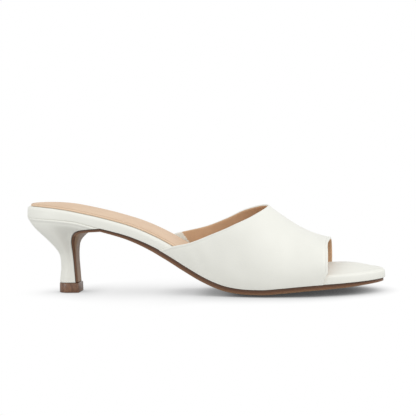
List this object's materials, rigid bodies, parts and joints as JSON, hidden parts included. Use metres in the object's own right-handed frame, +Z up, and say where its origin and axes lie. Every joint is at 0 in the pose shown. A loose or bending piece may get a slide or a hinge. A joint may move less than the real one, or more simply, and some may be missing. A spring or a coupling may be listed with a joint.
{
  "type": "high heel shoe",
  "caption": "Open-toe, open-back slip-on shoe with one wide band over the ball, on a low curved heel, white with a tan lining and a brown sole.",
  "frame": {"origin": "middle of the bounding box's base, on the floor that the shoe stands on", "axes": "+X towards the toe, +Y towards the inner side of the foot, +Z up"},
  "size_m": [0.2396, 0.0792, 0.0605],
  "materials": {
    "white_leather": "smooth white faux leather with a soft sheen",
    "tan_lining": "matte tan faux leather lining",
    "brown_sole": "brown sole, satin, with a darker painted edge",
    "brown_tip": "glossy dark brown top piece"
  },
  "bodies": {
    "root": {"outsole": "brown_sole", "footbed": "white_leather", "sock": "tan_lining", "heel": "white_leather", "heel_tip": "brown_tip", "upper": "white_leather"}
  },
  "joints": []
}
